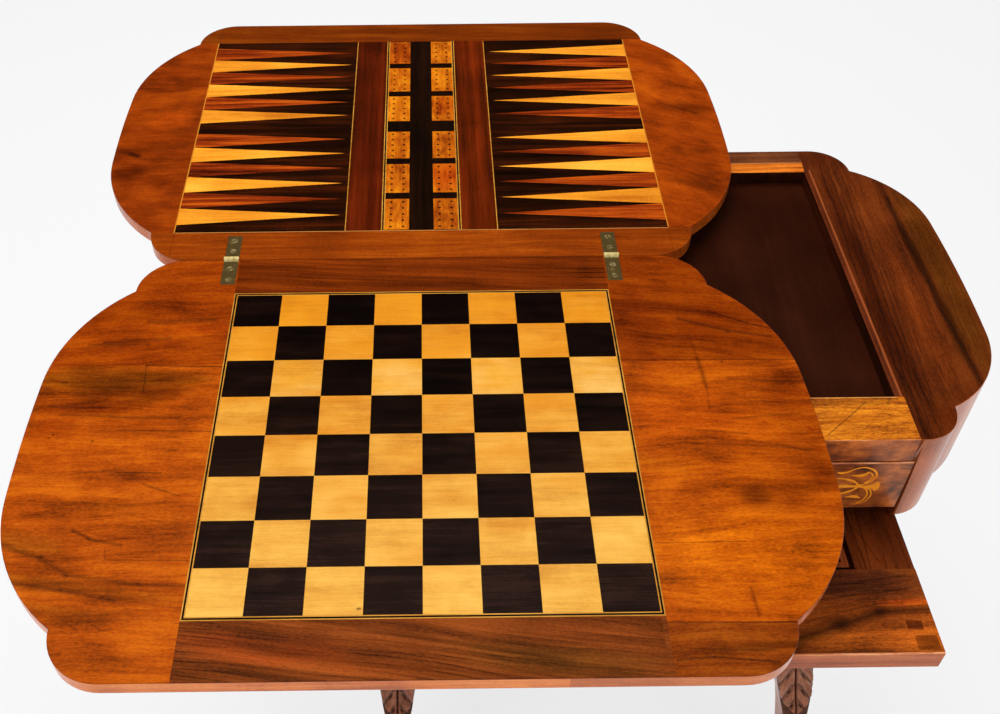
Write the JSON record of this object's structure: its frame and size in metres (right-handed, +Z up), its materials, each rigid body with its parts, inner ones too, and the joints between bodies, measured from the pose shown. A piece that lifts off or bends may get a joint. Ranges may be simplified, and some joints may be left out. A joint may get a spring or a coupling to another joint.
{
  "type": "games table",
  "caption": "Folding, swivelling games table with inlaid chess and backgammon leaves, a drawer, a sliding work well and splayed carved legs.",
  "frame": {"origin": "on the floor, under the centre of the case and midway between the four feet", "axes": "+X to the right and -Y to the front, where the drawer is; +Z up"},
  "size_m": [0.9024, 0.9484, 0.7285],
  "materials": {
    "leaf_walnut": "French-polished walnut",
    "end_walnut": "figured walnut veneer, French polished",
    "margin_walnut": "striped walnut veneer, French polished",
    "burr_walnut": "burr walnut veneer, French polished",
    "boxwood": "boxwood inlay, polished",
    "ebony": "ebonised inlay, polished",
    "rosewood": "dark rosewood ground, polished",
    "tulipwood": "red-brown tulipwood inlay, polished",
    "bar_rosewood": "rosewood panel, polished",
    "satinwood": "satinwood peg blocks, polished",
    "case_walnut": "walnut veneer on the case, polished",
    "carved_walnut": "solid walnut, turned and carved",
    "bare_walnut": "bare walnut, unpolished",
    "stained_pine": "dark stained tray wood",
    "drawer_mahogany": "drawer lining, waxed",
    "well_lining": "dark stained well box",
    "hinge_brass": "tarnished brass",
    "iron": "blackened iron"
  },
  "bodies": {
    "stand": {"case_end_left": "case_walnut", "case_end_right": "case_walnut", "case_front_rail": "bare_walnut", "case_back": "case_walnut", "tray_floor": "stained_pine", "swivel_rail": "stained_pine", "dust_board": "drawer_mahogany", "drawer_stops": "drawer_mahogany", "slide_runners": "carved_walnut", "bearers": "carved_walnut", "bearer_screws": "iron", "block_left": "carved_walnut", "block_right": "carved_walnut", "pillars_left": "carved_walnut", "pillars_right": "carved_walnut", "leg_front_left": "carved_walnut", "leg_front_right": "carved_walnut", "leg_back_left": "carved_walnut", "leg_back_right": "carved_walnut", "stretcher": "carved_walnut"},
    "pivoted_leaf": {"backgammon_leaf": "leaf_walnut", "points_end_panels": "end_walnut", "points_margin_strips": "margin_walnut", "dark_bands": "ebony", "peg_blocks": "satinwood", "points_string_light": "boxwood", "points_string_dark": "ebony", "bar_panels": "bar_rosewood", "points_light": "boxwood", "points_red": "tulipwood", "points_ground": "rosewood", "hinge_plates_top": "hinge_brass", "hinge_pins": "hinge_brass", "screws_top": "hinge_brass", "pivot_plate": "iron", "pivot_stud": "iron", "pivot_washer": "iron", "pivot_nut": "iron"},
    "folding_leaf": {"chess_leaf": "leaf_walnut", "closed_top_veneer": "burr_walnut", "chess_end_panels": "end_walnut", "chess_margin_strips": "margin_walnut", "light_squares": "boxwood", "dark_squares": "ebony", "chess_string_light": "boxwood", "chess_string_dark": "ebony", "hinge_plates_flap": "hinge_brass", "hinge_screws_flap": "hinge_brass"},
    "drawer": {"drawer_front": "case_walnut", "drawer_sides": "drawer_mahogany", "drawer_back": "drawer_mahogany", "drawer_bottom": "drawer_mahogany", "drawer_lock": "hinge_brass", "keyhole_plate": "hinge_brass"},
    "work_slide": {"slide_front_board": "case_walnut", "slide_rails": "case_walnut", "well_cleats": "well_lining", "well_walls": "well_lining", "well_bottom": "well_lining"}
  },
  "joints": [
    {"name": "top_swivel", "type": "hinge", "parent": "stand", "child": "pivoted_leaf", "pos_m": [-0.109, 0.128, 0.71], "axis": [0, 0, 1], "range_deg": [0, 180]},
    {"name": "leaf_fold", "type": "hinge", "parent": "pivoted_leaf", "child": "folding_leaf", "pos_m": [-0.218, 0.0188, 0.72525], "axis": [-1, 0, 0], "range_deg": [0, 180]},
    {"name": "drawer_slide", "type": "slide", "parent": "stand", "child": "drawer", "axis": [0, -1, 0], "range_m": [0, 0.26]},
    {"name": "well_slide", "type": "slide", "parent": "stand", "child": "work_slide", "axis": [0, -1, 0], "range_m": [-0.147, 0.075]}
  ]
}
